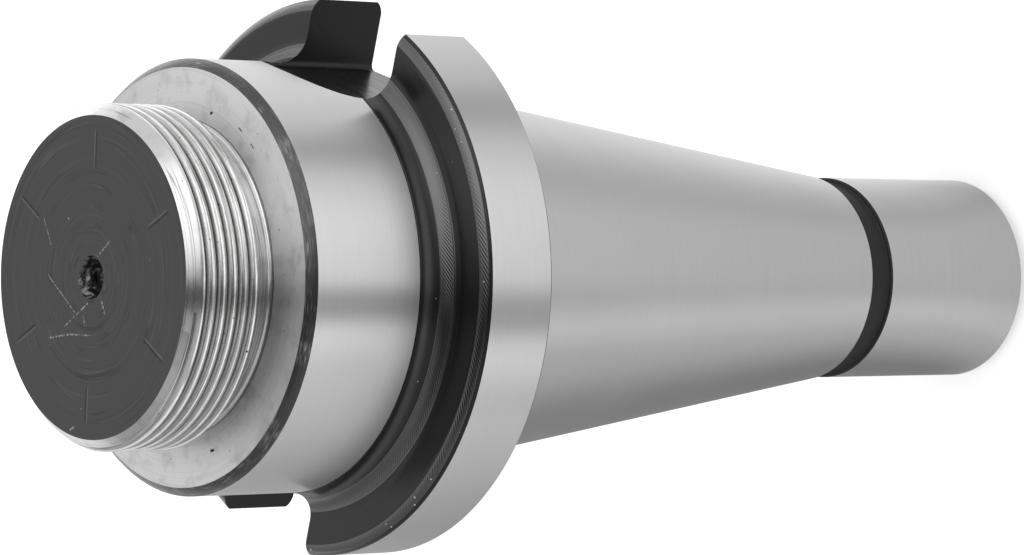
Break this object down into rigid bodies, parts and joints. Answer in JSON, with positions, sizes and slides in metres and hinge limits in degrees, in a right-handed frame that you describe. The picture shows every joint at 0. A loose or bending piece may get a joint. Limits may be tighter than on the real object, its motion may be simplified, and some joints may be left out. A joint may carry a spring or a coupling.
{
  "type": "milling cutter holder",
  "caption": "Steep taper shank with a slotted driving flange, a plain hub and a threaded nose for a screw-on cutter head.",
  "frame": {"origin": "centre of the gauge line, where the taper is 44.45 mm in diameter, 1.6 mm behind the flange", "axes": "+Z along the axis towards the threaded nose, the part standing on its tail; the two drive slots lie on the X axis"},
  "size_m": [0.061, 0.063, 0.1348],
  "materials": {
    "hardened_steel": "ground"
  },
  "bodies": {
    "root": {"holder_body": "hardened_steel"}
  },
  "joints": []
}
